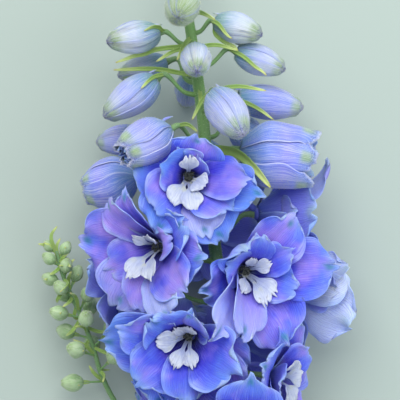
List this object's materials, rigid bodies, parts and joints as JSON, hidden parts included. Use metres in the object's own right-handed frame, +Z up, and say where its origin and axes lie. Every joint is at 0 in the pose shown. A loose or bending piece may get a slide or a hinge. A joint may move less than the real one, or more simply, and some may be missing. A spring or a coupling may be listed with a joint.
{
  "type": "delphinium plant",
  "caption": "Cut flowering delphinium stem lying on its back: a spire of blue-violet flowers with white centres, grey-blue buds, a side shoot of green buds and lobed leaves.",
  "frame": {"origin": "middle of the bounding box, on the surface that the stem lies on", "axes": "+Y along the stem from its cut end to its green tip, +X to the right of the side that shows, +Z up out of the surface"},
  "size_m": [0.1538, 0.3502, 0.074],
  "materials": {
    "stem": "satin",
    "shoot": "satin",
    "leaf": "satin",
    "bud": "matte",
    "opening": "matte",
    "petals": "matte",
    "bee": "matte"
  },
  "bodies": {
    "root": {"stem": "stem", "side_shoot": "shoot", "leaf_1": "leaf", "leaf_2": "leaf", "leaf_3": "leaf", "bud_top": "bud", "bud_top_left": "bud", "bud_top_right": "bud", "bud_centre": "bud", "bud_right": "bud", "bud_left_back": "bud", "bud_left": "bud", "bud_centre_right": "bud", "bud_right_low": "bud", "bud_left_low": "bud", "bud_back_high": "bud", "bud_back_right": "bud", "bud_opening_left": "opening", "bud_opening_right": "opening", "bud_opening_back_left": "opening", "bud_opening_back": "opening", "flower_01_petals": "petals", "flower_01_bee": "bee", "flower_02_petals": "petals", "flower_02_bee": "bee", "flower_03_petals": "petals", "flower_03_bee": "bee", "flower_04_petals": "petals", "flower_04_bee": "bee", "flower_05_petals": "petals", "flower_05_bee": "bee", "flower_06_petals": "petals", "flower_06_bee": "bee", "flower_07_petals": "petals", "flower_07_bee": "bee", "flower_08_petals": "petals", "flower_08_bee": "bee", "flower_09_petals": "petals", "flower_09_bee": "bee", "flower_10_petals": "petals", "flower_10_bee": "bee", "flower_11_petals": "petals", "flower_11_bee": "bee", "flower_12_petals": "petals", "flower_12_bee": "bee", "flower_13_petals": "petals", "flower_13_bee": "bee"}
  },
  "joints": []
}
